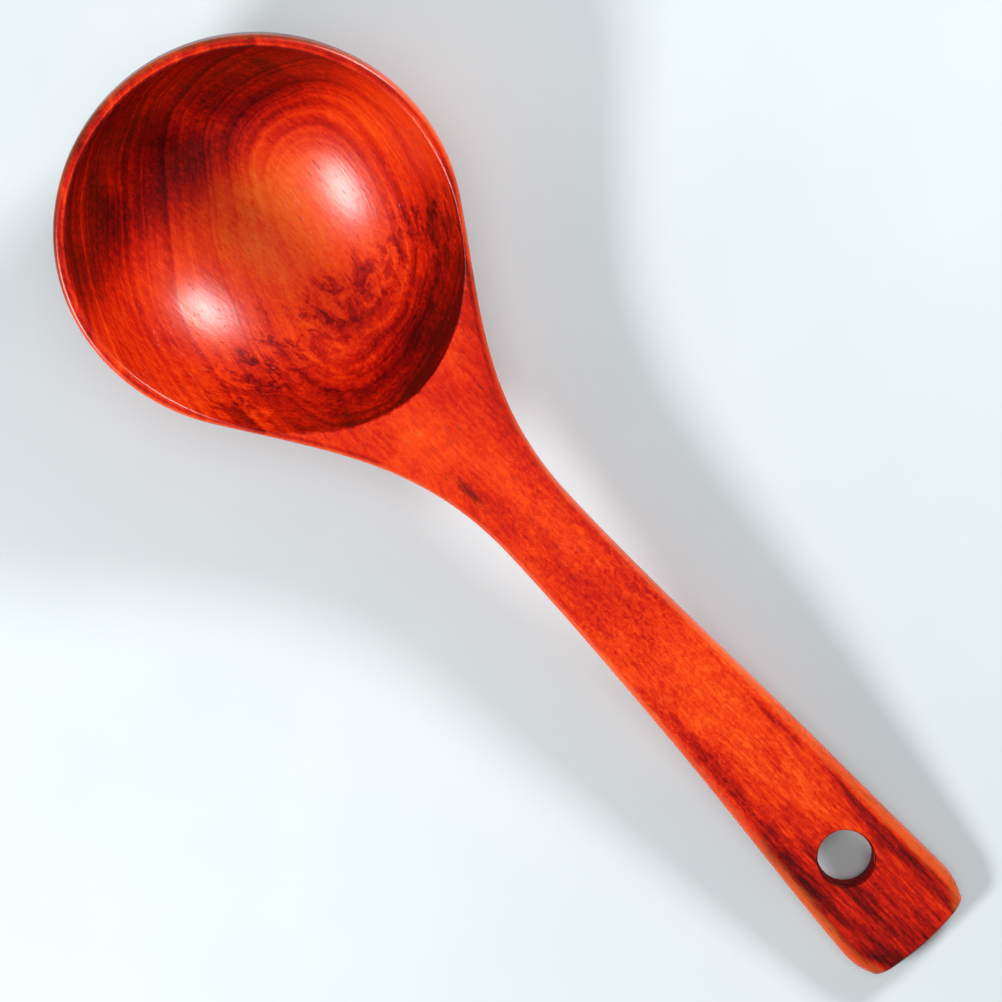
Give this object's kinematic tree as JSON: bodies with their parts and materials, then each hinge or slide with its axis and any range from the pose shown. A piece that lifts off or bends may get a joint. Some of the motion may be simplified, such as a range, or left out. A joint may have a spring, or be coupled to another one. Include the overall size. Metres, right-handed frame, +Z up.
{
  "type": "wooden ladle",
  "caption": "One-piece carved wooden ladle with a deep round bowl, a flared neck and a long flat handle that widens to a hanging hole.",
  "frame": {"origin": "middle of the bounding box on the surface that the ladle rests on, lying on its bowl and the end of its handle", "axes": "+X from the bowl toward the end of the handle, +Z up out of the open bowl, +Y to the side"},
  "size_m": [0.2712, 0.092, 0.0487],
  "materials": {
    "lacquered_wood": "red-orange stained wood under a glossy clear lacquer"
  },
  "bodies": {
    "root": {"bowl": "lacquered_wood", "neck": "lacquered_wood", "handle": "lacquered_wood"}
  },
  "joints": []
}
